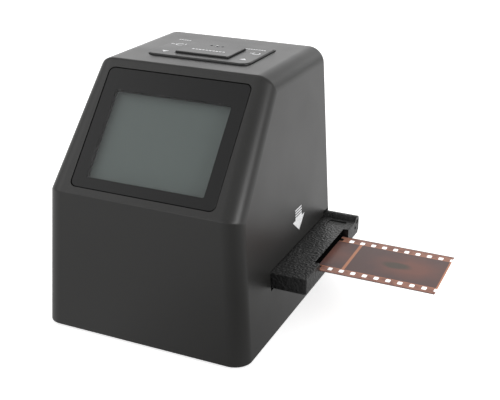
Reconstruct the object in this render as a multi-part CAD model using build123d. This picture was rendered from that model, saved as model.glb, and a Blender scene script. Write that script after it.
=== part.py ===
from build123d import *
import math
import os

# Film negative scanner with a film tray and a strip of film.
# Millimetres. +X to the right, +Y to the back, +Z up.
# Origin: middle of the footprint, on the surface that the rubber feet stand on.

# Housing: a one-piece drafted bucket, open below
base_width = 88.6
base_depth = 97.9
body_height = 101.6
slope_rise = 44.0
slope_angle = 50.05
side_draft = 3.83
front_draft = 1.07
back_draft = 1.49
wall = 2.4
corner_radius = 7.0
back_radius = 3.0
top_front_radius = 2.0
waist_radius = 1.2
inner_radius_min = 0.8

# Feet and base cover
foot_height = 1.0
foot_radius = 4.4
foot_sink = 0.8
foot_chamfer = 0.4
foot_side_inset = 9.3
foot_end_inset = 9.95
cover_thickness = 2.2
cover_gap = 0.3
hook_x = 24.0
hook_width = 7.0
hook_height = 4.8
hook_lip = 0.8
lip_height = 1.5

# Fits and screws
face_gap = 0.3
run_gap = 0.05
glue_gap = 0.05
thread_gap = 0.02
screw_clearance = 0.1
screw_end_gap = 0.5
overshoot = 1.0
screw_radius = 1.25
head_radius = 2.2
head_height = 1.4
small_screw_radius = 0.9
small_head_radius = 1.6
small_head_height = 1.0
boss_radius = 3.0
boss_rib = 1.6
base_boss_x = 27.0
base_boss_inset = 8.95
base_boss_height = 34.0
base_screw_length = 9.0

# Display window in the slope; the slope's own axes run up from the waist edge
window_width = 60.8
window_height = 50.4
window_radius = 2.5
window_thickness = 1.4
window_bottom = 3.1
window_sink = 0.1
window_gap = 0.2
mask_thickness = 0.2
mask_margin = 0.4
opening_width = 49.4
opening_height = 36.4
opening_bottom = 4.66
ledge_margin = 0.8
ledge_corner = 1.0
ledge_back = 3.2
pilot_end = 0.6
ledge_frame_width = 68.0
ledge_frame_height = 52.0
lcd_width = 59.0
lcd_height = 42.6
lcd_thickness = 2.3
lcd_gap = 0.1
lcd_corner = 0.6
lcd_glass_thickness = 0.9
lcd_glass_margin = 1.2
bracket_width = 67.0
bracket_height = 48.0
bracket_back = 1.5
bracket_window = 6.0
lcd_screw_x = 31.9
lcd_screw_span = 38.0
lcd_screw_length = 5.4

# Keypad in the top face
plate_width = 44.4
plate_share = 30.9 / 97.9
plate_back_share = 18.05 / 97.9
plate_rise = 0.75
plate_skin = 1.2
plate_rim = 1.2
plate_rim_drop = 1.6
plate_radius = 3.6
plate_edge_radius = 0.6
plate_gap = 0.35
key_width = 23.6
key_depth = 17.1
key_inset = 5.1
key_rise = 1.5
key_skin = 1.2
key_wall = 1.4
key_skirt = 3.5
key_gap = 0.3
key_travel = 0.5
key_corner_radius = 0.6
key_edge_radius = 0.35
key_stem_radius = 2.6
key_flange_radius = 3.6
key_flange = 0.5
stem_gap = 0.4
rocker_drop = 2.3
rock_angle = 1.3
ring_height = 1.6
ring_bar = 1.6
ring_side_bar = 2.6
ring_inner_width = 29.2
ring_pin_radius = 0.6
ring_pin_length = 1.5
pin_root = 0.5
pin_skin = 0.3
lug_width = 5.0
lug_thickness = 2.0
lug_gap = 0.15
lug_cover = 0.6
post_radius = 1.1
post_hole_radius = 1.9
post_inset = 2.8
carrier_floor = 1.6
carrier_width = 51.0
carrier_margin = 3.0
carrier_rim = 1.4
carrier_corner = 2.0
ear_x = 28.5
ear_inset = 7.0
switch_size = 6.0
switch_height = 3.1
plunger_radius = 1.7
plunger_height = 1.2
stem_reach = 0.6
press_clearance = 0.1
key_board_width = 50.0
board_thickness = 1.6
board_corner = 1.5
key_board_screw_x = 13.0
key_board_screw_grip = 4.0
spacer_radius = 2.2
light_pipe_radius = 1.0
light_pipe_inset = 2.6
light_pipe_rise = 0.15
light_pipe_edge = 0.3
dimple_radius = 0.6
dimple_spacing = 2.5
dimple_depth = 0.5
led_size = 3.0
led_height = 1.2

# Film and film tray
film_width = 35.0
film_thickness = 0.16
film_inset = 33.5
film_level = 25.0
film_end = 102.7
frame_pitch = 38.0
frame_count = 4
perforation_pitch = 4.75
perforation_length = 1.98
perforation_width = 2.79
perforation_edge = 2.0
perforation_corner = 0.35
tray_length = 114.0
tray_depth = 66.1
tray_back_gap = 1.35
tray_bottom = 21.9
tray_top = 28.4
tray_radius = 1.2
channel_clearance = 0.25
channel_depth = 0.25
gate_length = 36.6
gate_height = 24.6
gate_bevel = 1.8
gate_corner = 1.0
notch_width = 35.9
notch_depth = 2.2
skirt_thickness = 1.2
skirt_drop = 2.2
barrel_radius = 2.6
barrel_level = 27.6
pin_radius = 1.0
end_knuckle = 10.6
middle_knuckle = 20.0
knuckle_gap = 0.2
knuckle_root = 1.2
barrel_inset = 0.1
pin_inset = 0.6
lid_chamfer = 0.3
lid_overlap = 0.5
grip_recess_length = 8.0
grip_recess_width = 4.4
grip_recess_depth = 0.4
grip_recess_corner = 0.8
grip_recess_x = 50.0
grip_recess_inset = 9.6

# Slots in the side walls for the tray
slot_clearance = 0.4
slot_below = 1.3

# Lower guide: the deck that the tray runs on, standing on the base cover
deck_thickness = 1.7
deck_half_width = 40.0
rail_width = 5.8
skirt_half_width = 32.0
skirt_front_margin = 3.1
skirt_back_inset = 1.8
skirt_wall = 1.8
light_length = 38.6
light_width = 26.6
chassis_screw_x = 27.6
chassis_screw_inset = 4.4
pin_x = 34.0
locating_pin_radius = 1.5
locating_pin_height = 1.9
spring_pocket_length = 26.0
spring_pocket_depth = 4.0
spring_height = 4.0
spring_thickness = 0.4
spring_flat = 4.0

# Backlight
case_length = 48.0
case_width = 36.0
case_wall = 1.5
case_leg = 2.0
case_foot_radius = 2.0
case_foot_inset = 4.0
diffuser_thickness = 1.5
light_board_thickness = 1.2
chip_led_length = 3.5
chip_led_width = 2.8
chip_led_height = 1.4
led_columns = 4
led_rows = 3
led_spacing_x = 10.5
led_spacing_y = 10.0

# Upper guide, light shaft and camera
guide_thickness = 2.5
guide_skin = 0.5
guide_gate_margin = 3.4
guide_half_width = 39.2
step_wall = 1.8
step_depth = 5.8
guide_back_inset = 0.2
raised_level = 30.7
raised_thickness = 2.3
shaft_flange_length = 50.0
shaft_flange_width = 38.0
shaft_flange = 1.8
shaft_length = 42.0
shaft_width = 30.0
shaft_top_size = 18.0
shaft_wall = 1.6
shaft_height = 31.0
shaft_cap = 2.0
shaft_corner = 1.0
shaft_screw_x = 23.0
shaft_screw_y = 16.9
lens_radius = 6.2
lens_bore = 4.6
lens_length = 9.0
lens_below = 1.5
element_radius = 4.5
element_edge = 1.0
element_bulge = 0.5
spacer_ring = 1.6
spacer_bore = 3.8
element_seat = 0.2
holder_size = 18.0
holder_height = 9.2
holder_pocket = 12.4
holder_pocket_depth = 4.2
sensor_board_size = 26.0
sensor_size = 11.4
sensor_height = 1.4
sensor_screw_offset = 7.3
sensor_screw_length = 5.0
sensor_screw_radius = 0.7
sensor_head_radius = 1.3
sensor_head_height = 0.8

# Main board in two upright rails on the back wall
board_back_space = 10.55
board_width = 62.0
board_top_gap = 5.7
rail_inner = 28.9
rail_outer = 36.5
rail_lip = 2.1
rail_top_gap = 3.2
guide_screw_x = 34.0
guide_screw_inset = 3.2
guide_screw_length = 7.0
usb_width = 7.7
usb_height = 4.0
usb_level = 50.0
usb_length = 7.2
usb_metal = 0.4
usb_chamfer = 1.1
usb_floor = 1.2
usb_recess = 1.0
tongue_width = 4.8
tongue_height = 0.9
socket_gap = 0.3
card_socket_length = 28.0
card_socket_height = 28.0
card_socket_depth = 2.9
card_socket_end = -35.6
card_drop = 17.3
card_width = 24.0
card_thickness = 2.1
card_gap = 0.35
chip_height = 1.4
processor_size = 14.0
processor_x = 9.0
processor_drop = 21.3
memory_length = 18.4
memory_width = 10.2
memory_x = -12.0
memory_drop = 23.3


# Levels and places worked out from the sizes above
waist_height = body_height - slope_rise
foot_x = base_width / 2 - foot_side_inset
foot_y = base_depth / 2 - foot_end_inset
base_boss_y = base_boss_inset - base_depth / 2
plate_depth = base_depth * plate_share
plate_front = base_depth / 2 - base_depth * plate_back_share - plate_depth
key_front = plate_front + key_inset
tray_back = base_depth / 2 - wall - tray_back_gap
tray_front = tray_back - tray_depth
film_centre = tray_front + film_inset
grip_recess_y = tray_back - grip_recess_inset
skirt_front = tray_front - skirt_front_margin
skirt_back = tray_back - skirt_back_inset
guide_back = tray_back - guide_back_inset
step_front = guide_back - step_depth
guide_screw_y = guide_back - guide_screw_inset
board_y = base_depth / 2 - board_back_space
rail_front = board_y - rail_lip
rim_level = foot_height
top_level = foot_height + body_height
waist_level = foot_height + waist_height
cover_top = rim_level + cover_thickness
plate_middle = plate_front + plate_depth / 2
key_middle = key_front + key_depth / 2
plate_top = top_level + plate_rise
key_top = top_level + key_rise
rocker_level = top_level - rocker_drop
carrier_top = top_level - wall - carrier_floor
carrier_bottom = carrier_top - carrier_floor
top_underside = top_level - wall
ring_half_depth = key_depth / 2 + key_gap * 2 + ring_bar
ring_half_width = ring_inner_width / 2 + ring_side_bar
stem_bottom = carrier_bottom - stem_reach
plunger_top = stem_bottom - key_travel - press_clearance
post_half_width = plate_width / 2 - post_inset
post_near = plate_front + post_inset
post_far = plate_front + plate_depth - post_inset
post_reach = post_half_width + max(post_far - key_middle, key_middle - post_near) + 2 * post_radius
post_bottom = plunger_top + post_reach * math.sin(math.radians(rock_angle)) + press_clearance
key_board_top = plunger_top - plunger_height - switch_height
key_board_front = plate_front - carrier_margin
key_board_back = plate_front + plate_depth + carrier_margin
deck_top = tray_bottom - face_gap
deck_bottom = deck_top - deck_thickness
rail_front_edge = tray_front - face_gap - rail_width
guide_bottom = tray_top + face_gap
guide_top = guide_bottom + guide_thickness
raised_top = raised_level + raised_thickness
diffuser_bottom = deck_bottom - diffuser_thickness
case_floor = cover_top + case_leg
light_board_top = case_floor + case_wall + light_board_thickness
shaft_bottom = guide_top + shaft_flange
shaft_top = shaft_bottom + shaft_height
cap_top = shaft_top + shaft_cap
lens_bottom = shaft_top - lens_below
holder_top = cap_top + holder_height
board_bottom = raised_top + face_gap
rail_top = top_level - wall - rail_top_gap
board_top = rail_top - board_top_gap
card_level = board_top - card_drop
processor_level = board_top - processor_drop
memory_level = board_top - memory_drop
tray_half = tray_length / 2
barrel_y = tray_back - barrel_radius - barrel_inset
film_start = film_end - frame_pitch * frame_count
channel_half = film_width / 2 + channel_clearance


def slope_plane(lift=0.0):
    """The outer face of the slope: X to the right, Y up the slope, Z outwards."""
    tilt = math.radians(slope_angle)
    waist_y = -base_depth / 2 + waist_height * math.tan(math.radians(front_draft))
    outward = (0, -math.sin(tilt), math.cos(tilt))
    plane = Plane(origin=(0, waist_y, waist_level), x_dir=(1, 0, 0), z_dir=outward)
    return plane.offset(lift)


def window_middle():
    return window_bottom + window_height / 2


def opening_middle():
    return window_bottom + opening_bottom + opening_height / 2


def block(x_range, y_range, z_range):
    """A box between two corners."""
    size = [high - low for low, high in (x_range, y_range, z_range)]
    middle = [(high + low) / 2 for low, high in (x_range, y_range, z_range)]
    return Pos(*middle) * Box(*size)


def rod(x, y, z_range, radius):
    """An upright cylinder."""
    low, high = z_range
    return Pos(x, y, (low + high) / 2) * Cylinder(radius, high - low)


def bar(x_range, y, z, radius):
    """A cylinder along X."""
    low, high = x_range
    return Pos((low + high) / 2, y, z) * Rot(0, 90, 0) * Cylinder(radius, high - low)


def cross_bar(x, y_range, z, radius):
    """A cylinder along Y."""
    low, high = y_range
    return Pos(x, (low + high) / 2, z) * Rot(90, 0, 0) * Cylinder(radius, high - low)


def rounded_plate(width, depth, radius, z_range, x=0.0, y=0.0):
    low, high = z_range
    return Pos(x, y, low) * extrude(RectangleRounded(width, depth, radius), high - low)


def mirrored(shapes):
    """The shapes and their mirror images across the YZ plane."""
    shapes = list(shapes)
    return shapes + [mirror(shape, Plane.YZ) for shape in shapes]


def screw(length, radius=screw_radius, head=head_radius, height=head_height, crossed=False):
    """A pan-head screw: the head's bearing face at the origin, the shank along +Z."""
    body = rod(0, 0, (0, length), radius)
    cap = rod(0, 0, (-height, 0), head)
    cap = chamfer(cap.edges().group_by(Axis.Z)[0], height * 0.35)
    if crossed:
        arm = head * 1.1
        recess = Box(arm, head * 0.25, height) + Box(head * 0.25, arm, height)
        cap = cap - Pos(0, 0, -height) * recess
    return cap + body


def up_screw(x, y, z, length, **sizes):
    """A screw driven upwards, its head under level z."""
    return Pos(x, y, z) * screw(length, **sizes)


def down_screw(x, y, z, length, **sizes):
    """A screw driven downwards, its head on level z."""
    return Pos(x, y, z) * Rot(180, 0, 0) * screw(length, **sizes)


# Housing shell

def housing_profile(inset, reach):
    """Side outline of the housing, drawn in by inset and carried down by reach."""
    front = -base_depth / 2
    front_slant = math.tan(math.radians(front_draft))
    back_slant = math.tan(math.radians(back_draft))
    waist_y = front + waist_height * front_slant
    top_y = waist_y + (body_height - waist_height) / math.tan(math.radians(slope_angle))
    points = [
        (front - reach * front_slant, -reach),
        (waist_y, waist_height),
        (top_y, body_height),
        (base_depth / 2 - body_height * back_slant, body_height),
        (base_depth / 2 + reach * back_slant, -reach),
    ]
    outline = Polygon(*points, align=None)
    if inset:
        outline = offset(outline, -inset, kind=Kind.INTERSECTION)
    return outline


def housing_front(inset, reach):
    """Front outline of the housing, drawn in by inset and carried down by reach."""
    slant = math.tan(math.radians(side_draft))
    low = base_width / 2 + reach * slant
    high = base_width / 2 - (body_height) * slant
    outline = Polygon((-low, -reach), (low, -reach), (high, body_height), (-high, body_height), align=None)
    if inset:
        outline = offset(outline, -inset, kind=Kind.INTERSECTION)
    return outline


def housing_block(inset=0.0, reach=0.0):
    """The housing's solid form, rounded, standing on the rim level."""
    side = extrude(Plane.YZ * housing_profile(inset, reach), base_width, both=True)
    front = extrude(Plane.XZ * housing_front(inset, reach), base_depth, both=True)
    form = side & front
    form = round_housing(form, inset)
    return Pos(0, 0, rim_level) * form


def round_housing(form, inset):
    def radius(outer):
        return max(outer - inset, inner_radius_min)

    middle_y = base_depth / 4
    bottom = form.bounding_box().min.Z
    slanted = form.edges().filter_by(lambda e: abs(e.tangent_at(0.5).X) < 0.5)
    slanted = slanted.filter_by(lambda e: e.center().Z > bottom + overshoot)
    sides = slanted.filter_by(lambda e: e.center().Y < middle_y)
    form = fillet(sides, radius(corner_radius))
    back_face = form.faces().sort_by(Axis.Y)[-1]
    backs = back_face.edges().filter_by(lambda e: e.center().Z > bottom + overshoot)
    form = fillet(backs, radius(back_radius))
    return round_crosswise(form, radius)


def round_crosswise(form, radius):
    def crosswise():
        return form.edges().filter_by(lambda e: abs(e.tangent_at(0.5).X) > 0.99 and e.length > base_width / 2)

    top = form.bounding_box().max.Z
    upper = crosswise().filter_by(lambda e: e.center().Z > top - overshoot)
    form = fillet(upper.sort_by(Axis.Y)[0], radius(top_front_radius))
    waist = crosswise().filter_by(lambda e: base_depth * -0.5 < e.center().Y < -base_depth * 0.3)
    waist = waist.filter_by(lambda e: abs(e.center().Z - waist_height) < wall * 2)
    return fillet(waist, radius(waist_radius))


def tray_slot():
    """Cut through both side walls for the tray, with a notch over its hinge barrel."""
    reach = (-base_width, base_width)
    front = tray_front - slot_clearance
    back = tray_back + slot_clearance
    slot = block(reach, (front, back), (tray_bottom - slot_below, tray_top + slot_clearance))
    barrel_top = barrel_level + barrel_radius + slot_clearance
    notch = block(reach, (barrel_y - barrel_radius - slot_clearance, back), (tray_top, barrel_top))
    return slot + notch


def window_pocket():
    """Recess for the window in the slope and the opening behind it."""
    depth = window_sink + window_thickness + mask_thickness + glue_gap
    pocket = RectangleRounded(window_width + 2 * window_gap, window_height + 2 * window_gap, window_radius)
    recess = slope_plane() * Pos(0, window_middle(), -depth) * extrude(pocket, depth * 2)
    hole = RectangleRounded(opening_width + 2 * ledge_margin, opening_height + 2 * ledge_margin, ledge_corner)
    through = slope_plane() * Pos(0, opening_middle(), -ledge_back * 2) * extrude(hole, ledge_back * 2)
    return recess + through


def lcd_screw_places():
    """Four places beside the display, in the slope's own axes."""
    middle = opening_middle()
    half = lcd_screw_span / 2
    return [(x, middle + y) for x in (-lcd_screw_x, lcd_screw_x) for y in (-half, half)]


def base_boss_places():
    return [(-base_boss_x, base_boss_y), (base_boss_x, base_boss_y)]


def ear_places():
    near = plate_front + ear_inset
    far = plate_front + plate_depth - ear_inset
    return [(x, y) for x in (-ear_x, ear_x) for y in (near, far)]


def housing_features():
    """What stands on the inside of the housing, before it is trimmed to the outer form."""
    features = []
    ledge = RectangleRounded(ledge_frame_width, ledge_frame_height, ledge_corner * 3)
    place = slope_plane() * Pos(0, opening_middle(), -ledge_back)
    features.append(place * extrude(ledge, ledge_back - wall / 2))
    for x, y in base_boss_places():
        boss_top = cover_top + base_boss_height
        features.append(rod(x, y, (cover_top, boss_top), boss_radius))
        rib = block((x - boss_rib / 2, x + boss_rib / 2), (-base_depth / 2, y), (cover_top, boss_top))
        features.append(rib)
    for x, y in ear_places():
        features.append(rod(x, y, (carrier_top, top_level), boss_radius))
    features += board_rails()
    return features


def board_rails():
    """Two upright channels on the back wall; the left one is open beside the card socket."""
    back = (rail_front, base_depth / 2)
    low = raised_top + glue_gap
    card_half = card_socket_height / 2 + face_gap
    groove = block((rail_inner - overshoot, board_width / 2 + face_gap),
                   (board_y - run_gap * 2, board_y + board_thickness + run_gap * 2), (low, rail_top))
    right = block((rail_inner, rail_outer), back, (low, rail_top)) - groove
    left = mirror(right, Plane.YZ)
    left -= block((-rail_outer - overshoot, 0), (board_y, base_depth / 2), (card_level - card_half, card_level + card_half))
    return [right, left]


def shell_cuts():
    cuts = [tray_slot(), window_pocket(), keypad_hole(), usb_hole(), card_slot(), hook_pockets()]
    for x, y in lcd_screw_places():
        pilot = Cylinder(small_screw_radius + thread_gap, ledge_back)
        cuts.append(slope_plane() * Pos(x, y, -ledge_back / 2 - pilot_end) * pilot)
    for x, y in base_boss_places():
        cuts.append(rod(x, y, (cover_top - overshoot, cover_top + base_screw_length), screw_radius + thread_gap))
    for x, y in ear_places():
        cuts.append(rod(x, y, (carrier_top - overshoot, top_level - wall / 2), small_screw_radius + thread_gap))
    for x in (-guide_screw_x, guide_screw_x):
        cuts.append(rod(x, guide_screw_y, (raised_top, raised_top + guide_screw_length), screw_radius + thread_gap))
    return cuts


def keypad_hole():
    size = (plate_width + 2 * plate_gap, plate_depth + 2 * plate_gap)
    return rounded_plate(*size, plate_radius + plate_gap, (top_level - wall * 2, top_level + overshoot), y=plate_middle)


def usb_hole():
    half_width = usb_width / 2 + socket_gap
    half_height = usb_height / 2 + socket_gap
    return block((-half_width, half_width), (base_depth * 0.42, base_depth),
                 (usb_level - half_height, usb_level + half_height))


def card_slot():
    half_height = card_width / 2 + card_gap
    middle = board_y + board_thickness + card_socket_depth / 2
    half_depth = card_thickness / 2 + card_gap
    return block((-base_width, -base_width * 0.38), (middle - half_depth, middle + half_depth),
                 (card_level - half_height, card_level + half_height))


def hook_pockets():
    """Pockets in the back wall for the hooks of the base cover."""
    low = cover_top + hook_height - lip_height - face_gap
    y_face = base_depth / 2 - wall
    cuts = []
    for x in (-hook_x, hook_x):
        half = hook_width / 2 + face_gap
        cuts.append(block((x - half, x + half), (y_face - wall, y_face + hook_lip + face_gap),
                          (low, cover_top + hook_height + face_gap)))
    return cuts[0] + cuts[1]


def housing_shell():
    outer = housing_block()
    inner = housing_block(wall, wall * 2)
    shell = outer - inner
    for feature in housing_features():
        shell += feature & outer
    for cut in shell_cuts():
        shell -= cut
    return shell


# Base cover, feet and screws

def foot_places():
    return [(x, y) for x in (-foot_x, foot_x) for y in (-foot_y, foot_y)]


def chassis_screw_places():
    front = skirt_front + chassis_screw_inset
    back = skirt_back - chassis_screw_inset
    return [(x, y) for x in (-chassis_screw_x, chassis_screw_x) for y in (front, back)]


def base_cover():
    width = base_width - 2 * wall - 2 * cover_gap
    depth = base_depth - 2 * wall - 2 * cover_gap
    cover = rounded_plate(width, depth, corner_radius - wall, (rim_level, cover_top))
    for x in (-hook_x, hook_x):
        cover += base_hook(x, depth / 2)
    for x, y in foot_places():
        cover -= rod(x, y, (rim_level - overshoot, rim_level + foot_sink), foot_radius + glue_gap * 2)
    for x, y in base_boss_places() + chassis_screw_places():
        cover -= rod(x, y, (0, cover_top + overshoot), screw_radius + 2 * screw_clearance)
        cover -= rod(x, y, (0, rim_level + head_height + screw_clearance), head_radius + 3 * screw_clearance)
    return cover


def base_hook(x, back):
    half = hook_width / 2
    post = block((x - half, x + half), (back - wall * 0.7, back), (cover_top - overshoot, cover_top + hook_height))
    lip_low = cover_top + hook_height - lip_height
    lip_back = base_depth / 2 - wall + hook_lip
    lip = block((x - half, x + half), (back - wall * 0.7, lip_back), (lip_low, cover_top + hook_height))
    return post + lip


def rubber_feet():
    feet = []
    for x, y in foot_places():
        foot = rod(x, y, (0, rim_level + foot_sink), foot_radius)
        feet.append(chamfer(foot.edges().group_by(Axis.Z)[0], foot_chamfer))
    return Compound(feet)


def base_screws():
    level = rim_level + head_height + screw_clearance
    return Compound([up_screw(x, y, level, base_screw_length, crossed=True) for x, y in base_boss_places()])


def chassis_screws():
    level = rim_level + head_height + screw_clearance
    return Compound([up_screw(x, y, level, base_screw_length, crossed=True) for x, y in chassis_screw_places()])


# Display

def display_window():
    plate = RectangleRounded(window_width, window_height, window_radius)
    place = slope_plane() * Pos(0, window_middle(), -window_sink - window_thickness)
    return place * extrude(plate, window_thickness)


def display_mask():
    size = (window_width - 2 * mask_margin, window_height - 2 * mask_margin)
    sheet = Pos(0, window_middle()) * RectangleRounded(*size, window_radius - mask_margin)
    hole = Pos(0, opening_middle()) * RectangleRounded(opening_width, opening_height, lcd_corner)
    place = slope_plane(-window_sink - window_thickness - mask_thickness)
    return place * extrude(sheet - hole, mask_thickness)


def lcd_panel():
    """The display module: a glass front on a slightly larger frame."""
    back = ledge_back + lcd_gap + lcd_thickness
    frame = RectangleRounded(lcd_width, lcd_height, lcd_corner)
    glass = RectangleRounded(lcd_width - 2 * lcd_glass_margin, lcd_height - 2 * lcd_glass_margin, lcd_corner)
    place = slope_plane() * Pos(0, opening_middle(), -back)
    body = place * extrude(frame, lcd_thickness - lcd_glass_thickness)
    return body + place * extrude(glass, lcd_thickness)


def bracket_depth():
    return lcd_gap + lcd_thickness + bracket_back


def lcd_bracket():
    place = slope_plane() * Pos(0, opening_middle(), -ledge_back - bracket_depth())
    outer = place * extrude(RectangleRounded(bracket_width, bracket_height, window_radius), bracket_depth() - glue_gap)
    pocket = RectangleRounded(lcd_width + 2 * lcd_gap, lcd_height + 2 * lcd_gap, lcd_corner + lcd_gap)
    frame = outer - place * Pos(0, 0, bracket_back) * extrude(pocket, bracket_depth())
    size = (lcd_width - 2 * bracket_window, lcd_height - 2 * bracket_window)
    frame -= place * Pos(0, 0, -overshoot) * extrude(RectangleRounded(*size, window_radius), bracket_back + 2 * overshoot)
    for x, y in lcd_screw_places():
        frame -= slope_plane() * Pos(x, y, -ledge_back) * Cylinder(small_screw_radius + screw_clearance, 4 * bracket_depth())
    return frame


def lcd_screws():
    shape = screw(lcd_screw_length, small_screw_radius, small_head_radius, small_head_height)
    level = -ledge_back - bracket_depth()
    return Compound([slope_plane() * Pos(x, y, level) * shape for x, y in lcd_screw_places()])


# Keypad

def post_places():
    return [(x, y) for x in (-post_half_width, post_half_width) for y in (post_near, post_far)]


def keypad_plate():
    """The four-way rocker plate round the centre key."""
    rim_bottom = plate_top - plate_skin - plate_rim_drop
    plate = rounded_plate(plate_width, plate_depth, plate_radius, (rim_bottom, plate_top), y=plate_middle)
    plate = fillet(plate.faces().sort_by(Axis.Z)[-1].edges(), plate_edge_radius)
    hollow = (plate_width - 2 * plate_rim, plate_depth - 2 * plate_rim)
    skin_bottom = plate_top - plate_skin
    plate -= rounded_plate(*hollow, plate_radius - plate_rim, (rim_bottom - overshoot, skin_bottom), y=plate_middle)
    half_width = key_width / 2 + key_gap
    window = ((-half_width, half_width), (key_front - key_gap, key_front + key_depth + key_gap))
    plate -= block(*window, (rim_bottom - overshoot, plate_top + overshoot))
    for x, y in post_places():
        plate += rod(x, y, (post_bottom, skin_bottom), post_radius)
    for side in (-1, 1):
        plate += plate_lug(side, skin_bottom)
    return plate


def plate_lug(side, skin_bottom):
    """A lug under the plate that takes one pin of the rocker ring."""
    inner = key_middle + side * (ring_half_depth + lug_gap)
    outer = inner + side * lug_thickness
    low = rocker_level - ring_pin_radius - lug_cover
    lug = block((-lug_width / 2, lug_width / 2), sorted((inner, outer)), (low, skin_bottom))
    hole = cross_bar(0, sorted((inner - side, outer - side * pin_skin)), rocker_level, ring_pin_radius + run_gap)
    return lug - hole


def rocker_ring():
    """Ring that lets the plate rock both ways: pins along X in the carrier, pins along Y in the plate."""
    low = rocker_level - ring_height / 2
    high = rocker_level + ring_height / 2
    y_low = key_middle - ring_half_depth
    y_high = key_middle + ring_half_depth
    ring = block((-ring_half_width, ring_half_width), (y_low, y_high), (low, high))
    inner_half = ring_inner_width / 2
    ring -= block((-inner_half, inner_half), (y_low + ring_bar, y_high - ring_bar), (low - overshoot, high + overshoot))
    reach = ring_half_width + ring_pin_length
    for pin in mirrored([bar((ring_half_width - overshoot, reach), key_middle, rocker_level, ring_pin_radius)]):
        ring += pin
    ring += cross_bar(0, (y_low - ring_pin_length, y_low + pin_root), rocker_level, ring_pin_radius)
    ring += cross_bar(0, (y_high - pin_root, y_high + ring_pin_length), rocker_level, ring_pin_radius)
    return ring


def centre_key():
    """The raised centre key: a hollow cap on a stem with a snap flange."""
    bottom = key_top - key_skirt
    half = key_width / 2
    cap = block((-half, half), (key_front, key_front + key_depth), (bottom, key_top))
    cap = fillet(cap.edges().filter_by(Axis.Z), key_corner_radius)
    cap = fillet(cap.faces().sort_by(Axis.Z)[-1].edges(), key_edge_radius)
    inner = ((-half + key_wall, half - key_wall), (key_front + key_wall, key_front + key_depth - key_wall))
    cap -= block(*inner, (bottom - overshoot, key_top - key_skin))
    cap += rod(0, key_middle, (stem_bottom, key_top - key_skin), key_stem_radius)
    cap += rod(0, key_middle, (stem_bottom, stem_bottom + key_flange), key_flange_radius)
    pipe_y = key_front + key_depth - light_pipe_inset
    cap -= rod(0, pipe_y, (bottom - overshoot, key_top + overshoot), light_pipe_radius + thread_gap)
    for x in (-dimple_spacing, dimple_spacing):
        cap -= rod(x, pipe_y, (key_top - dimple_depth, key_top + overshoot), dimple_radius)
    return cap


def light_pipe():
    """Clear rod that carries the status light up through the centre key."""
    pipe_y = key_front + key_depth - light_pipe_inset
    pipe = rod(0, pipe_y, (carrier_bottom, key_top + light_pipe_rise), light_pipe_radius)
    return fillet(pipe.edges().group_by(Axis.Z)[-1], light_pipe_edge)


def key_carrier():
    """Frame under the top face: floor, rim, ears and the lugs of the rocker ring."""
    size = (carrier_width, plate_depth + 2 * carrier_margin)
    frame = rounded_plate(*size, carrier_corner, (carrier_bottom, top_underside), y=plate_middle)
    inner = (size[0] - 2 * carrier_rim, size[1] - 2 * carrier_rim)
    frame -= rounded_plate(*inner, carrier_corner / 2, (carrier_top, top_underside + overshoot), y=plate_middle)
    for x, y in ear_places():
        frame -= rod(x, y, (carrier_top, top_underside + overshoot), boss_radius + 2 * screw_clearance)
        frame += rod(x, y, (carrier_bottom, carrier_top - glue_gap), boss_radius)
        neck = sorted((x, math.copysign(carrier_width / 2 - carrier_rim, x)))
        frame += block(neck, (y - boss_radius, y + boss_radius), (carrier_bottom, carrier_top - glue_gap))
        frame -= rod(x, y, (carrier_bottom - overshoot, carrier_top + overshoot), small_screw_radius + screw_clearance)
    inner_x = ring_half_width + lug_gap
    lug_high = rocker_level + ring_pin_radius + lug_cover
    lug = block((inner_x, inner_x + lug_thickness), (key_middle - lug_width / 2, key_middle + lug_width / 2),
                (carrier_bottom, lug_high))
    lug -= bar((inner_x - overshoot, inner_x + lug_thickness - pin_skin), key_middle, rocker_level, ring_pin_radius + run_gap)
    for shape in mirrored([lug]):
        frame += shape
    for x, y in post_places():
        frame -= rod(x, y, (carrier_bottom - overshoot, carrier_top), post_hole_radius)
    frame -= rod(0, key_middle, (carrier_bottom - overshoot, carrier_top), key_stem_radius + stem_gap)
    pipe_y = key_front + key_depth - light_pipe_inset
    frame -= rod(0, pipe_y, (carrier_bottom - overshoot, carrier_top), light_pipe_radius + stem_gap)
    for x, y in key_board_screw_places():
        frame += rod(x, y, (key_board_top, carrier_bottom), spacer_radius)
        frame -= rod(x, y, (key_board_top - overshoot, carrier_bottom + carrier_floor * 0.4), small_screw_radius + thread_gap)
    return frame


def key_board_screw_places():
    return [(-key_board_screw_x, plate_middle), (key_board_screw_x, plate_middle)]


def carrier_screws():
    return Compound([up_screw(x, y, carrier_bottom, carrier_floor + wall, radius=small_screw_radius,
                              head=small_head_radius, height=small_head_height) for x, y in ear_places()])


def key_board():
    depth = key_board_back - key_board_front
    board = rounded_plate(key_board_width, depth, board_corner, (key_board_top - board_thickness, key_board_top),
                          y=plate_middle)
    for x, y in key_board_screw_places():
        board -= rod(x, y, (key_board_top - board_thickness - overshoot, key_board_top + overshoot), small_screw_radius + screw_clearance)
    return board


def key_board_screws():
    level = key_board_top - board_thickness
    return Compound([up_screw(x, y, level, board_thickness + key_board_screw_grip, radius=small_screw_radius,
                              head=small_head_radius, height=small_head_height) for x, y in key_board_screw_places()])


def key_switches():
    """Five short-travel switches under the plate's posts and the centre key's stem."""
    switches = []
    for x, y in post_places() + [(0, key_middle)]:
        half = switch_size / 2
        body = block((x - half, x + half), (y - half, y + half), (key_board_top, key_board_top + switch_height))
        switches.append(body + rod(x, y, (key_board_top, plunger_top), plunger_radius))
    return Compound(switches)


def status_led():
    pipe_y = key_front + key_depth - light_pipe_inset
    half = led_size / 2
    return block((-half, half), (pipe_y - half / 2, pipe_y + half / 2), (key_board_top, key_board_top + led_height))


# Film tray

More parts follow.
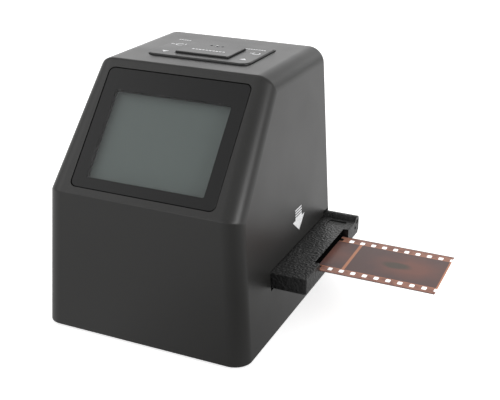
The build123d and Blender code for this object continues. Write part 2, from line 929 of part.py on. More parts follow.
def tray_outline(z_range):
    depth = tray_back - tray_front
    middle = (tray_back + tray_front) / 2
    return rounded_plate(tray_length, depth, tray_radius, z_range, y=middle)


def film_channel(z_range):
    return block((-tray_half - overshoot, tray_half + overshoot), (film_centre - channel_half, film_centre + channel_half), z_range)


def knuckle_spans():
    """Stretches of the hinge barrel along X: the base's three, then the lid's two."""
    end = tray_half - end_knuckle
    middle = middle_knuckle / 2
    base = [(-tray_half, -end), (-middle, middle), (end, tray_half)]
    lid = [(-end + knuckle_gap, -middle - knuckle_gap), (middle + knuckle_gap, end - knuckle_gap)]
    return base, lid


def tray_base():
    """Lower half of the tray with the film channel, the light window and three hinge knuckles."""
    base = tray_outline((tray_bottom, film_level))
    rebate_front = tray_front + skirt_thickness + run_gap * 2
    skirt_bottom = film_level - skirt_drop
    along = (-tray_half - overshoot, tray_half + overshoot)
    base -= block(along, (tray_front - overshoot, rebate_front), (skirt_bottom - run_gap * 2, film_level + overshoot))
    base -= film_channel((film_level - channel_depth, film_level + overshoot))
    base -= rounded_plate(gate_length, gate_height, gate_corner, (tray_bottom - overshoot, film_level + overshoot), y=film_centre)
    seat_front = barrel_y - barrel_radius - face_gap
    base -= block(along, (seat_front, tray_back + overshoot), (film_level - face_gap, film_level + overshoot))
    spans, _ = knuckle_spans()
    for low, high in spans:
        base += bar((low, high), barrel_y, barrel_level, barrel_radius)
        base += block((low, high), (barrel_y - knuckle_root, tray_back - barrel_inset), (tray_bottom + overshoot, barrel_level))
    return base - bar((-tray_half - overshoot, tray_half + overshoot), barrel_y, barrel_level, pin_radius + run_gap)


def tray_lid():
    """Upper half of the tray: front skirt, bevelled gate, finger notches and two hinge knuckles."""
    back_edge = barrel_y - barrel_radius - face_gap
    lid = tray_outline((film_level, tray_top))
    lid = chamfer(lid.faces().sort_by(Axis.Z)[-1].edges(), lid_chamfer)
    lid -= block((-tray_half - overshoot, tray_half + overshoot), (back_edge, tray_back + overshoot), (film_level - overshoot, tray_top + overshoot))
    skirt = block((-tray_half, tray_half), (tray_front, tray_front + skirt_thickness),
                  (film_level - skirt_drop, film_level + overshoot))
    lid += fillet(skirt.edges().filter_by(Axis.Z).group_by(Axis.Y)[0], skirt_thickness * 0.9)
    lid -= film_channel((film_level - overshoot, film_level + channel_depth))
    lid -= gate_opening()
    for side in (-1, 1):
        end = side * tray_half
        notch = sorted((end - side * notch_depth, end + side))
        span = (film_centre - notch_width / 2, film_centre + notch_width / 2)
        lid -= block(notch, span, (film_level - overshoot, tray_top + overshoot))
        x = side * grip_recess_x
        recess = rounded_plate(grip_recess_length, grip_recess_width, grip_recess_corner, (tray_top - grip_recess_depth, tray_top + overshoot),
                               x=x, y=grip_recess_y)
        lid -= recess
    _, spans = knuckle_spans()
    for low, high in spans:
        lid += bar((low, high), barrel_y, barrel_level, barrel_radius)
        lid += block((low, high), (back_edge - lid_overlap, barrel_y), (film_level + face_gap, tray_top))
    return lid - bar((-tray_half - overshoot, tray_half + overshoot), barrel_y, barrel_level, pin_radius + run_gap)


def gate_opening():
    """The lid's picture window, widening upwards."""
    low = RectangleRounded(gate_length, gate_height, gate_corner)
    high = RectangleRounded(gate_length + 2 * gate_bevel, gate_height + 2 * gate_bevel, gate_corner + gate_bevel)
    straight = film_level + 1
    lower = Pos(0, film_centre, film_level - overshoot) * extrude(low, 2 * overshoot)
    upper = loft([Pos(0, film_centre, straight) * low, Pos(0, film_centre, tray_top + knuckle_gap) * high])
    return lower + upper


def tray_hinge_pin():
    return bar((pin_inset - tray_half, tray_half - pin_inset), barrel_y, barrel_level, pin_radius)


def film_strip():
    """Four frames of 35 mm film, cut through the perforations at both ends."""
    low = film_level - film_thickness / 2
    high = film_level + film_thickness / 2
    half = film_width / 2
    strip = block((film_start, film_end), (film_centre - half, film_centre + half), (low, high))
    row = half - perforation_edge - perforation_width / 2
    hole = chamfer(Rectangle(perforation_length, perforation_width).vertices(), perforation_corner)
    cutter = extrude(hole, 4 * film_thickness)
    count = round((film_end - film_start) / perforation_pitch)
    cuts = []
    for index in range(count + 1):
        x = film_end - index * perforation_pitch
        for side in (-1, 1):
            cuts.append(Pos(x, film_centre + side * row, low - film_thickness) * cutter)
    return strip - cuts


# Lower guide and backlight

def lower_guide():
    """Deck that the tray runs on, with a front rail, on a skirt that stands on the base cover."""
    back = skirt_back
    guide = block((-deck_half_width, deck_half_width), (rail_front_edge, tray_back), (deck_bottom, deck_top))
    rail_back = tray_front - face_gap
    guide += block((-deck_half_width, deck_half_width), (rail_front_edge, rail_back), (deck_bottom, guide_bottom))
    box = block((-skirt_half_width, skirt_half_width), (skirt_front, back), (cover_top, deck_bottom))
    inner = block((-skirt_half_width + skirt_wall, skirt_half_width - skirt_wall),
                  (skirt_front + skirt_wall, back - skirt_wall), (cover_top - overshoot, deck_bottom))
    guide += box - inner
    for x, y in chassis_screw_places():
        guide += rod(x, y, (cover_top, deck_bottom), boss_radius)
        guide -= rod(x, y, (cover_top - overshoot, cover_top + base_screw_length), screw_radius + thread_gap)
    guide -= rounded_plate(light_length, light_width, gate_corner, (deck_bottom - overshoot, deck_top + overshoot), y=film_centre)
    half = spring_pocket_length / 2
    mid = (deck_top + guide_bottom) / 2
    guide -= block((-half, half), (rail_back - spring_pocket_depth, rail_back + overshoot),
                   (mid - spring_height / 2 - face_gap, guide_bottom + overshoot))
    for x in (-pin_x, pin_x):
        span = (guide_bottom - overshoot, guide_bottom + locating_pin_height)
        guide += rod(x, rail_back - rail_width / 2, span, locating_pin_radius)
    return guide


def detent_spring():
    """Leaf spring in the front rail that presses on the tray's edge."""
    back = tray_front - face_gap - spring_pocket_depth
    front = tray_front - face_gap - spring_thickness
    end = spring_pocket_length / 2 - 2 * face_gap
    start = end - spring_flat
    middle_y = back + spring_thickness / 2
    wire = Polyline((-end, middle_y), (-start, middle_y))
    wire += ThreePointArc((-start, middle_y), (0, front + spring_thickness / 2), (start, middle_y))
    wire += Polyline((start, middle_y), (end, middle_y))
    strip = trace(wire, spring_thickness)
    mid = (deck_top + guide_bottom) / 2
    return Pos(0, 0, mid - spring_height / 2) * extrude(strip, spring_height)


def backlight_case():
    half_x = case_length / 2
    half_y = case_width / 2
    y_range = (film_centre - half_y, film_centre + half_y)
    case = block((-half_x, half_x), y_range, (case_floor, diffuser_bottom))
    inner_y = (y_range[0] + case_wall, y_range[1] - case_wall)
    case -= block((-half_x + case_wall, half_x - case_wall), inner_y, (case_floor + case_wall, diffuser_bottom + overshoot))
    for x in (case_foot_inset - half_x, half_x - case_foot_inset):
        for y in (y_range[0] + case_foot_inset, y_range[1] - case_foot_inset):
            case += rod(x, y, (cover_top, case_floor), case_foot_radius)
    return case


def backlight_board():
    half_x = case_length / 2 - case_wall - face_gap
    half_y = case_width / 2 - case_wall - face_gap
    level = (case_floor + case_wall, light_board_top)
    return block((-half_x, half_x), (film_centre - half_y, film_centre + half_y), level)


def backlight_leds():
    leds = []
    for column in range(led_columns):
        for row in range(led_rows):
            x = (column - (led_columns - 1) / 2) * led_spacing_x
            y = film_centre + (row - (led_rows - 1) / 2) * led_spacing_y
            leds.append(Pos(x, y, light_board_top + chip_led_height / 2)
                        * Box(chip_led_length, chip_led_width, chip_led_height))
    return Compound(leds)


def diffuser():
    half_x = case_length / 2
    half_y = case_width / 2
    return block((-half_x, half_x), (film_centre - half_y, film_centre + half_y), (diffuser_bottom, deck_bottom))


# Upper guide and camera

def upper_guide():
    """Deck over the tray, stepped up over its hinge barrel."""
    x_range = (-guide_half_width, guide_half_width)
    guide = block(x_range, (rail_front_edge, step_front), (guide_bottom, guide_top))
    guide += block(x_range, (step_front - step_wall, step_front), (guide_bottom, raised_top))
    guide += block(x_range, (step_front - step_wall, guide_back), (raised_level, raised_top))
    size = (gate_length + guide_gate_margin, gate_height + guide_gate_margin)
    guide -= rounded_plate(*size, gate_corner * 2, (guide_bottom - overshoot, guide_top + overshoot), y=film_centre)
    for x in (-guide_screw_x, guide_screw_x):
        guide -= rod(x, guide_screw_y, (raised_level - overshoot, raised_top + overshoot), screw_radius + screw_clearance)
        guide -= rod(x, guide_screw_y, (raised_level - overshoot, raised_level + head_height), head_radius + 2 * screw_clearance)
    for x in (-pin_x, pin_x):
        pin_y = tray_front - face_gap - rail_width / 2
        guide -= rod(x, pin_y, (guide_bottom - overshoot, guide_top + overshoot), locating_pin_radius + run_gap)
    for x, y in shaft_screw_places():
        guide -= rod(x, y, (guide_bottom + guide_skin, guide_top + overshoot), small_screw_radius + thread_gap)
    return guide


def guide_screws():
    level = raised_level + head_height
    length = guide_screw_length - screw_end_gap
    return Compound([up_screw(x, guide_screw_y, level, length) for x in (-guide_screw_x, guide_screw_x)])


def shaft_screw_places():
    return [(x, film_centre + y) for x in (-shaft_screw_x, shaft_screw_x) for y in (-shaft_screw_y, shaft_screw_y)]


def light_shaft():
    """Tapered optical tunnel from the film gate up to the lens."""
    flange = rounded_plate(shaft_flange_length, shaft_flange_width, board_corner, (guide_top, shaft_bottom), y=film_centre)
    outer = shaft_form(0, shaft_bottom, shaft_top)
    shaft = flange + outer
    shaft += rounded_plate(shaft_top_size, shaft_top_size, board_corner, (shaft_top, cap_top), y=film_centre)
    shaft -= shaft_form(shaft_wall, shaft_bottom, shaft_top)
    inner = (shaft_length - 2 * shaft_wall, shaft_width - 2 * shaft_wall)
    shaft -= rounded_plate(*inner, shaft_corner, (guide_top - overshoot, shaft_bottom), y=film_centre)
    shaft -= rod(0, film_centre, (shaft_top - overshoot, cap_top + overshoot), lens_radius + run_gap)
    for x, y in shaft_screw_places():
        shaft -= rod(x, y, (guide_top - overshoot, shaft_bottom + overshoot), small_screw_radius + screw_clearance)
    return shaft


def shaft_form(inset, low, high):
    wide = RectangleRounded(shaft_length - 2 * inset, shaft_width - 2 * inset, shaft_corner)
    narrow = RectangleRounded(shaft_top_size - 2 * inset, shaft_top_size - 2 * inset, shaft_corner)
    return loft([Pos(0, film_centre, low) * wide, Pos(0, film_centre, high) * narrow], ruled=True)


def shaft_screws():
    return Compound([down_screw(x, y, shaft_bottom, shaft_flange + guide_thickness - guide_skin - glue_gap * 2, radius=small_screw_radius,
                                head=small_head_radius, height=small_head_height) for x, y in shaft_screw_places()])


def lens_holder():
    half = holder_size / 2
    holder = rounded_plate(holder_size, holder_size, board_corner, (cap_top, holder_top), y=film_centre)
    holder -= rod(0, film_centre, (cap_top - overshoot, holder_top + overshoot), lens_radius + run_gap)
    pocket = holder_pocket / 2
    span = (holder_top - holder_pocket_depth, holder_top + overshoot)
    holder -= block((-pocket, pocket), (film_centre - pocket, film_centre + pocket), span)
    for x, y in sensor_screw_places():
        holder -= rod(x, y, (holder_top - sensor_screw_length, holder_top + overshoot), sensor_screw_radius + thread_gap)
    return holder


def sensor_screw_places():
    offset_xy = sensor_screw_offset
    return [(-offset_xy, film_centre - offset_xy), (offset_xy, film_centre + offset_xy)]


def lens_barrel():
    """Threaded barrel with a spacer rib between its two elements."""
    high = lens_bottom + lens_length
    barrel = rod(0, film_centre, (lens_bottom, high), lens_radius)
    middle = (lens_bottom + high) / 2
    rib_low = middle - spacer_ring / 2
    rib_high = middle + spacer_ring / 2
    barrel -= rod(0, film_centre, (lens_bottom - overshoot, rib_low), lens_bore)
    barrel -= rod(0, film_centre, (rib_high, high + overshoot), lens_bore)
    return barrel - rod(0, film_centre, (lens_bottom, high), spacer_bore)


def lens_element(low, high):
    """A biconvex glass element, its rim between two levels."""
    ball = (element_radius ** 2 + element_bulge ** 2) / (2 * element_bulge)
    element = rod(0, film_centre, (low - element_bulge, high + element_bulge), element_radius)
    element &= Pos(0, film_centre, high + element_bulge - ball) * Sphere(ball)
    element &= Pos(0, film_centre, low - element_bulge + ball) * Sphere(ball)
    return element


def lens_elements():
    middle = lens_bottom + lens_length / 2
    gap = spacer_ring / 2 + element_seat
    lower = lens_element(middle - gap - element_edge, middle - gap)
    upper = lens_element(middle + gap, middle + gap + element_edge)
    return Compound([lower, upper])


def image_sensor():
    half = sensor_size / 2
    return block((-half, half), (film_centre - half, film_centre + half), (holder_top - sensor_height, holder_top))


def sensor_board():
    high = holder_top + board_thickness
    board = rounded_plate(sensor_board_size, sensor_board_size, board_corner, (holder_top, high), y=film_centre)
    for x, y in sensor_screw_places():
        board -= rod(x, y, (holder_top - overshoot, high + overshoot), sensor_screw_radius + screw_clearance)
    return board


def sensor_screws():
    level = holder_top + board_thickness
    length = board_thickness + sensor_screw_length - screw_end_gap
    return Compound([down_screw(x, y, level, length, radius=sensor_screw_radius, head=sensor_head_radius,
                                height=sensor_head_height) for x, y in sensor_screw_places()])


# Main board

def main_board():
    half = board_width / 2
    return block((-half, half), (board_y, board_y + board_thickness), (board_bottom, board_top))


def processor_chip():
    half = processor_size / 2
    return block((processor_x - half, processor_x + half), (board_y - chip_height, board_y),
                 (processor_level - half, processor_level + half))


def memory_chip():
    half_x = memory_width / 2
    half_z = memory_length / 2
    return block((memory_x - half_x, memory_x + half_x), (board_y - chip_height, board_y),
                 (memory_level - half_z, memory_level + half_z))


def usb_outline(inset):
    half_w = usb_width / 2 - inset
    half_h = usb_height / 2 - inset
    cut = usb_chamfer
    points = [(-half_w, half_h - cut), (-half_w, -half_h), (half_w, -half_h),
              (half_w, half_h - cut), (half_w - cut, half_h), (-half_w + cut, half_h)]
    return Polygon(*points, align=None)


def usb_socket():
    """Five-pin socket: a folded metal shell round a tongue, facing the back."""
    start = board_y + board_thickness
    place = Plane(origin=(0, start, usb_level), x_dir=(1, 0, 0), z_dir=(0, 1, 0))
    shell = place * extrude(usb_outline(0), usb_length)
    shell -= place * Pos(0, 0, usb_floor) * extrude(usb_outline(usb_metal), usb_length)
    tongue = Pos(0, 0, usb_length / 2) * Box(tongue_width, tongue_height, usb_length - usb_recess)
    return shell + place * tongue


def card_socket():
    """Card socket on the back of the main board, its mouth towards the left wall."""
    start = board_y + board_thickness
    half = card_socket_height / 2
    x_range = (card_socket_end, card_socket_end + card_socket_length)
    body = block(x_range, (start, start + card_socket_depth), (card_level - half, card_level + half))
    middle = start + card_socket_depth / 2
    slot_half = card_width / 2 + 0.2
    slot = block((card_socket_end - overshoot, card_socket_end + card_socket_length - 2), (middle - 1.12, middle + 1.12),
                 (card_level - slot_half, card_level + slot_half))
    return body - slot


parts = {
    "housing_shell": housing_shell,
    "base_cover": base_cover,
    "rubber_feet": rubber_feet,
    "base_screws": base_screws,
    "chassis_screws": chassis_screws,
    "display_window": display_window,
    "display_mask": display_mask,
    "lcd_panel": lcd_panel,
    "lcd_bracket": lcd_bracket,
    "lcd_screws": lcd_screws,
    "keypad_plate": keypad_plate,
    "rocker_ring": rocker_ring,
    "centre_key": centre_key,
    "light_pipe": light_pipe,
    "key_carrier": key_carrier,
    "carrier_screws": carrier_screws,
    "key_board": key_board,
    "key_board_screws": key_board_screws,
    "key_switches": key_switches,
    "status_led": status_led,
    "tray_base": tray_base,
    "tray_lid": tray_lid,
    "tray_hinge_pin": tray_hinge_pin,
    "film_strip": film_strip,
    "lower_guide": lower_guide,
    "detent_spring": detent_spring,
    "backlight_case": backlight_case,
    "backlight_board": backlight_board,
    "backlight_leds": backlight_leds,
    "diffuser": diffuser,
    "upper_guide": upper_guide,
    "guide_screws": guide_screws,
    "light_shaft": light_shaft,
    "shaft_screws": shaft_screws,
    "lens_holder": lens_holder,
    "lens_barrel": lens_barrel,
    "lens_elements": lens_elements,
    "image_sensor": image_sensor,
    "sensor_board": sensor_board,
    "sensor_screws": sensor_screws,
    "main_board": main_board,
    "processor_chip": processor_chip,
    "memory_chip": memory_chip,
    "usb_socket": usb_socket,
    "card_socket": card_socket,
}

os.makedirs("parts", exist_ok=True)
for name, make in parts.items():
    print("writing", name)
    export_step(make(), f"parts/{name}.step")
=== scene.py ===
import math

import bmesh
import bpy
from mathutils import Matrix, Vector


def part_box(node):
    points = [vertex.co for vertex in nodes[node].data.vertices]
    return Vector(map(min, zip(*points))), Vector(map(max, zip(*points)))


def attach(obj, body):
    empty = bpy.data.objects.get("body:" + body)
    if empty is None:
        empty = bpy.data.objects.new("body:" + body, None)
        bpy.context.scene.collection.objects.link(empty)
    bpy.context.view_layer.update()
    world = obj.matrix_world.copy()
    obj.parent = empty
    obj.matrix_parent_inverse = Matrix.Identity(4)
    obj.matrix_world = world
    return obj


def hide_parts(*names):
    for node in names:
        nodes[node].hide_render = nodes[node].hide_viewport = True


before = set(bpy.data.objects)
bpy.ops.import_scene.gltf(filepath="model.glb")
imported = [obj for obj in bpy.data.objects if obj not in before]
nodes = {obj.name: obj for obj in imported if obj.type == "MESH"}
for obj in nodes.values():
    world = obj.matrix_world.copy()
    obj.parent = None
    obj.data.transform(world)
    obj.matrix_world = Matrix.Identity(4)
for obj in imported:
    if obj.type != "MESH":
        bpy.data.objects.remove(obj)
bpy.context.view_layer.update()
mm = 0.001
print("frame loaded:", len(nodes), "nodes")

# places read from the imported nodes, in metres
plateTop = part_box("keypad_plate")[1].z
filmLow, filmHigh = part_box("film_strip")


# small helpers for node trees

def addNode(tree, kind, **values):
    made = tree.nodes.new(kind)
    for name, value in values.items():
        if hasattr(made, name):
            setattr(made, name, value)
        else:
            made.inputs[name.replace("_", " ")].default_value = value
    return made


def join(tree, start, end):
    tree.links.new(start, end)


# a socket takes a fixed value or a link
def feed(tree, value, socket):
    if isinstance(value, (int, float, tuple)):
        socket.default_value = value
    else:
        join(tree, value, socket)


def maths(tree, operation, first, second=None, clamp=False):
    made = addNode(tree, "ShaderNodeMath", operation=operation, use_clamp=clamp)
    feed(tree, first, made.inputs[0])
    if second is not None:
        feed(tree, second, made.inputs[1])
    return made.outputs[0]


def plus(tree, first, second, clamp=False):
    return maths(tree, "ADD", first, second, clamp)


def minus(tree, first, second):
    return maths(tree, "SUBTRACT", first, second)


def times(tree, first, second, clamp=False):
    return maths(tree, "MULTIPLY", first, second, clamp)


def over(tree, first, second):
    return maths(tree, "DIVIDE", first, second)


def mixColour(tree, factor, first, second):
    made = addNode(tree, "ShaderNodeMix", data_type="RGBA")
    feed(tree, factor, made.inputs["Factor"])
    feed(tree, first, made.inputs[6])
    feed(tree, second, made.inputs[7])
    return made.outputs[2]


# between two colours, each at its own place
def ramp(tree, value, low, high):
    made = tree.nodes.new("ShaderNodeValToRGB")
    for element, (position, colour) in zip(made.color_ramp.elements, (low, high)):
        element.position, element.color = position, colour
    join(tree, value, made.inputs[0])
    return made.outputs[0]


def grey(value):
    return (value, value, value, 1.0)


def objectPlace(tree):
    return addNode(tree, "ShaderNodeTexCoord").outputs["Object"]


def noise(tree, scale, detail=2.0, roughness=0.5):
    made = addNode(tree, "ShaderNodeTexNoise", Detail=detail, Roughness=roughness)
    join(tree, objectPlace(tree), made.inputs["Vector"])
    feed(tree, scale, made.inputs["Scale"])
    return made.outputs[0]


def axes(tree, vector):
    made = addNode(tree, "ShaderNodeSeparateXYZ")
    join(tree, vector, made.inputs[0])
    return made.outputs


def newGroup(name, inputs, colours, values):
    tree = bpy.data.node_groups.new(name, "ShaderNodeTree")
    for label, value in inputs.items():
        kind = "NodeSocketColor" if isinstance(value, tuple) else "NodeSocketFloat"
        tree.interface.new_socket(label, in_out="INPUT", socket_type=kind).default_value = value
    for label in colours:
        tree.interface.new_socket(label, in_out="OUTPUT", socket_type="NodeSocketColor")
    for label in values:
        tree.interface.new_socket(label, in_out="OUTPUT", socket_type="NodeSocketFloat")
    return tree, tree.nodes.new("NodeGroupInput"), tree.nodes.new("NodeGroupOutput")


def placeGroup(tree, group, **values):
    made = addNode(tree, "ShaderNodeGroup", node_tree=group)
    for name, value in values.items():
        made.inputs[name.replace("_", " ")].default_value = value
    return made


# fine spark-eroded grain of moulded plastic, with a slow drift in tone and gloss
mouldLook = {
    "fineDetail": 2.0, "fineRoughness": 0.6, "fineShare": 0.5, "driftScale": 45.0, "driftDetail": 3.0,
    "toneReach": 0.35, "speckReach": 0.16, "glossReach": 0.25,
}


def makeMouldGrain():
    look = mouldLook
    inputs = {"Grain Size": 0.35, "Drift": 0.5, "Base": grey(0.05), "Gloss": 0.45}
    tree, source, result = newGroup("mouldGrain", inputs, ["Colour"], ["Roughness", "Height"])
    scale = over(tree, 1.0 / mm, source.outputs["Grain Size"])
    fine = noise(tree, scale, look["fineDetail"], look["fineRoughness"])
    pits = addNode(tree, "ShaderNodeTexVoronoi", feature="SMOOTH_F1")
    join(tree, objectPlace(tree), pits.inputs["Vector"])
    join(tree, scale, pits.inputs["Scale"])
    slow = minus(tree, noise(tree, look["driftScale"], look["driftDetail"]), 0.5)
    drift = times(tree, slow, source.outputs["Drift"])
    tone = plus(tree, times(tree, drift, look["toneReach"]), 1.0)
    speck = plus(tree, times(tree, fine, look["speckReach"]), 1.0 - look["speckReach"] / 2)
    shade = addNode(tree, "ShaderNodeVectorMath", operation="SCALE")
    join(tree, source.outputs["Base"], shade.inputs[0])
    join(tree, times(tree, tone, speck), shade.inputs["Scale"])
    join(tree, shade.outputs[0], result.inputs["Colour"])
    gloss = plus(tree, source.outputs["Gloss"], times(tree, drift, look["glossReach"]))
    join(tree, gloss, result.inputs["Roughness"])
    height = plus(tree, times(tree, fine, look["fineShare"]), pits.outputs["Distance"])
    join(tree, height, result.inputs["Height"])
    return tree


# faint dust that settles on faces that look up
dustLook = {"scale": 1500.0, "sparse": 0.58, "dense": 0.75, "colour": (0.5, 0.49, 0.47, 1)}


def makeDust():
    inputs = {"Amount": 0.1, "Colour": grey(0.05)}
    tree, source, result = newGroup("settledDust", inputs, ["Colour"], ["Mask"])
    facing = axes(tree, addNode(tree, "ShaderNodeNewGeometry").outputs["Normal"])
    upward = times(tree, facing["Z"], 1.0, clamp=True)
    motes = noise(tree, dustLook["scale"])
    spots = ramp(tree, motes, (dustLook["sparse"], grey(0)), (dustLook["dense"], grey(1)))
    mask = times(tree, times(tree, spots, upward), source.outputs["Amount"])
    dusty = mixColour(tree, mask, source.outputs["Colour"], dustLook["colour"])
    join(tree, dusty, result.inputs["Colour"])
    join(tree, mask, result.inputs["Mask"])
    return tree


mouldGrain = makeMouldGrain()
settledDust = makeDust()


def newMaterial(name):
    material = bpy.data.materials.new(name)
    material.use_nodes = True
    tree = material.node_tree
    return tree, tree.nodes["Principled BSDF"]


def bumpFrom(tree, shader, height, strength, depth):
    bump = addNode(tree, "ShaderNodeBump", Strength=strength, Distance=depth * mm)
    join(tree, height, bump.inputs["Height"])
    join(tree, bump.outputs[0], shader.inputs["Normal"])


# surface made of two shaders, the second where the mask is white
def mixShaders(tree, mask, first, second):
    both = addNode(tree, "ShaderNodeMixShader")
    for socket, part in zip(both.inputs, (mask, first, second)):
        join(tree, part, socket)
    join(tree, both.outputs[0], tree.nodes["Material Output"].inputs["Surface"])


# moulded plastics: grain size and depth in mm
plastics = {
    "shellPlastic": {
        "colour": (0.0135, 0.0132, 0.0125, 1), "gloss": 0.40, "grainSize": 0.32, "grainDepth": 0.010,
        "dust": 0.02,
    },
    "trayPlastic": {
        "colour": grey(0.0050), "gloss": 0.45, "grainSize": 1.0, "grainDepth": 0.40, "drift": 1.0,
        "dust": 0.16,
    },
    "keyPlastic": {
        "colour": (0.013, 0.013, 0.0132, 1), "gloss": 0.39, "grainSize": 0.22, "grainDepth": 0.003,
        "dust": 0.02,
    },
    "bezelAcrylic": {
        "colour": (0.0035, 0.0035, 0.0037, 1), "gloss": 0.36, "grainSize": 0.9, "grainDepth": 0.0006,
        "drift": 0.3, "shine": 0.34,
    },
    "maskInk": {
        "colour": grey(0.004), "gloss": 0.8, "grainSize": 1.5, "grainDepth": 0.0002, "strength": 0.1,
        "shine": 0.0,
    },
    "rubberBlack": {
        "colour": (0.022, 0.022, 0.023, 1), "gloss": 0.82, "grainSize": 0.45, "grainDepth": 0.03,
        "drift": 1.0, "dust": 0.2,
    },
    "innerPlastic": {"colour": grey(0.010), "gloss": 0.6, "grainSize": 0.5, "grainDepth": 0.01},
    "basePlastic": {"colour": grey(0.035), "gloss": 0.5, "grainSize": 0.5, "grainDepth": 0.03},
    "whitePlastic": {"colour": (0.8, 0.8, 0.77, 1), "gloss": 0.45, "grainSize": 0.4, "grainDepth": 0.01},
    "chipEpoxy": {"colour": (0.02, 0.02, 0.022, 1), "gloss": 0.5, "grainSize": 0.3, "grainDepth": 0.01},
    "ledPhosphor": {"colour": (0.85, 0.78, 0.35, 1), "gloss": 0.4, "grainSize": 0.2, "grainDepth": 0.01},
    "opalSheet": {"colour": (0.86, 0.87, 0.88, 1), "gloss": 0.35, "grainSize": 0.3, "grainDepth": 0.004},
}


def mouldedPlastic(name, colour, gloss, grainSize, grainDepth,
                   drift=0.5, dust=0.0, strength=0.6, shine=0.5):
    tree, shader = newMaterial(name)
    grain = placeGroup(tree, mouldGrain, Grain_Size=grainSize, Drift=drift, Base=colour, Gloss=gloss)
    tone = grain.outputs["Colour"]
    if dust:
        layer = placeGroup(tree, settledDust, Amount=dust)
        join(tree, tone, layer.inputs["Colour"])
        tone = layer.outputs["Colour"]
    join(tree, tone, shader.inputs["Base Color"])
    join(tree, grain.outputs["Roughness"], shader.inputs["Roughness"])
    shader.inputs["Specular IOR Level"].default_value = shine
    bumpFrom(tree, shader, grain.outputs["Height"], strength, grainDepth)


for name, look in plastics.items():
    mouldedPlastic(name, **look)
print("plastics ready")


# painted shade: the wall above the film's mouth is made flat black, with no sheen, standing for the
# shadow there; place and reach along x, in mm
mouthShade = {"place": 54.8, "reach": 0.15, "facing": 0.9, "colour": grey(0.002)}


def paintMouthShade():
    tree = bpy.data.materials["trayPlastic"].node_tree
    along = times(tree, axes(tree, objectPlace(tree))["X"], 1.0 / mm)
    apart = maths(tree, "ABSOLUTE", minus(tree, along, mouthShade["place"]))
    near = maths(tree, "LESS_THAN", apart, mouthShade["reach"])
    facing = axes(tree, addNode(tree, "ShaderNodeTexCoord").outputs["Normal"])
    rightward = maths(tree, "GREATER_THAN", facing["X"], mouthShade["facing"])
    # painted shade: flat black diffuse on the wall facing +x at the film's mouth, standing for its
    # shadow
    paintedShade = addNode(tree, "ShaderNodeBsdfDiffuse", Color=mouthShade["colour"], Roughness=1.0)
    mask = times(tree, near, rightward)
    mixShaders(tree, mask, tree.nodes["Principled BSDF"].outputs[0], paintedShade.outputs[0])


paintMouthShade()


# metals: colour and gloss; fine marks drag both a little
metals = {
    "screwSteel": ((0.16, 0.16, 0.17, 1), 0.3),
    "springSteel": ((0.62, 0.62, 0.64, 1), 0.22),
    "socketMetal": ((0.68, 0.67, 0.65, 1), 0.2),
    "lensMetal": ((0.03, 0.03, 0.032, 1), 0.35),
}
metalMarks = {"scale": 900.0, "detail": 4.0, "roughness": 0.7, "dull": 0.8, "glossReach": 0.2,
              "strength": 0.3, "depth": 0.01}


# the same colour, made darker
def dimmed(colour, share):
    return tuple(share * part for part in colour[:3]) + (1,)


def makeMetal(name, colour, gloss):
    tree, shader = newMaterial(name)
    marks = noise(tree, metalMarks["scale"], metalMarks["detail"], metalMarks["roughness"])
    shade = mixColour(tree, marks, dimmed(colour, metalMarks["dull"]), colour)
    join(tree, shade, shader.inputs["Base Color"])
    shader.inputs["Metallic"].default_value = 1.0
    rough = plus(tree, times(tree, marks, metalMarks["glossReach"]), gloss)
    join(tree, rough, shader.inputs["Roughness"])
    bumpFrom(tree, shader, marks, metalMarks["strength"], metalMarks["depth"])


for name, (colour, gloss) in metals.items():
    makeMetal(name, colour, gloss)


# circuit boards: green lacquer over a faint pattern of tracks
board = {
    "scale": 260.0, "trackWidth": 0.08, "first": (0.012, 0.10, 0.045, 1),
    "second": (0.014, 0.12, 0.05, 1), "track": (0.03, 0.2, 0.09, 1),
    "gloss": 0.3, "strength": 0.4, "depth": 0.03,
}


def makeBoardLacquer():
    tree, shader = newMaterial("boardLacquer")
    tracks = addNode(tree, "ShaderNodeTexBrick", Scale=board["scale"], Mortar_Size=board["trackWidth"])
    for label, part in (("Color1", "first"), ("Color2", "second"), ("Mortar", "track")):
        tracks.inputs[label].default_value = board[part]
    join(tree, objectPlace(tree), tracks.inputs["Vector"])
    join(tree, tracks.outputs["Color"], shader.inputs["Base Color"])
    bumpFrom(tree, shader, tracks.outputs["Fac"], board["strength"], board["depth"])
    shader.inputs["Roughness"].default_value = board["gloss"]


makeBoardLacquer()


# thin clear sheets: straight through, with a faint smeared reflection where a ray enters
clears = {
    "windowAcrylic": {"tint": (0.94, 0.96, 0.96, 1), "rough": 0.33, "smear": 0.06, "ior": 1.49},
    "clearPlastic": {"tint": (0.9, 0.92, 0.94, 1), "rough": 0.06, "smear": 0.02, "ior": 1.49},
    "lensGlass": {"tint": (0.85, 0.92, 1.0, 1), "rough": 0.01, "smear": 0.02, "ior": 1.6},
}
hazeScale, hazeDetail = 60.0, 4.0


def makeClear(name, tint, rough, smear, ior):
    tree, shader = newMaterial(name)
    tree.nodes.remove(shader)
    haze = noise(tree, hazeScale, hazeDetail)
    through = addNode(tree, "ShaderNodeBsdfTransparent", Color=tint)
    shine = addNode(tree, "ShaderNodeBsdfGlossy")
    join(tree, plus(tree, times(tree, haze, smear), rough), shine.inputs["Roughness"])
    rim = addNode(tree, "ShaderNodeFresnel", IOR=ior)
    surface = addNode(tree, "ShaderNodeNewGeometry")
    entering = minus(tree, 1.0, surface.outputs["Backfacing"])
    mask = times(tree, rim.outputs[0], entering)
    mixShaders(tree, mask, through.outputs[0], shine.outputs[0])


for name, look in clears.items():
    makeClear(name, **look)


# display: a switched-off panel, grey with a green cast, its polariser slightly uneven
display = {
    "colour": (0.132, 0.145, 0.139, 1), "edge": (0.126, 0.140, 0.133, 1), "gloss": 0.5, "shine": 0.1,
    "cloudScale": 22.0, "cloudDetail": 1.0, "cloudFrom": 0.3, "cloudTo": 0.7, "cellScale": 3300.0,
    "cellColour": grey(0.05), "cellShare": 0.03,
}


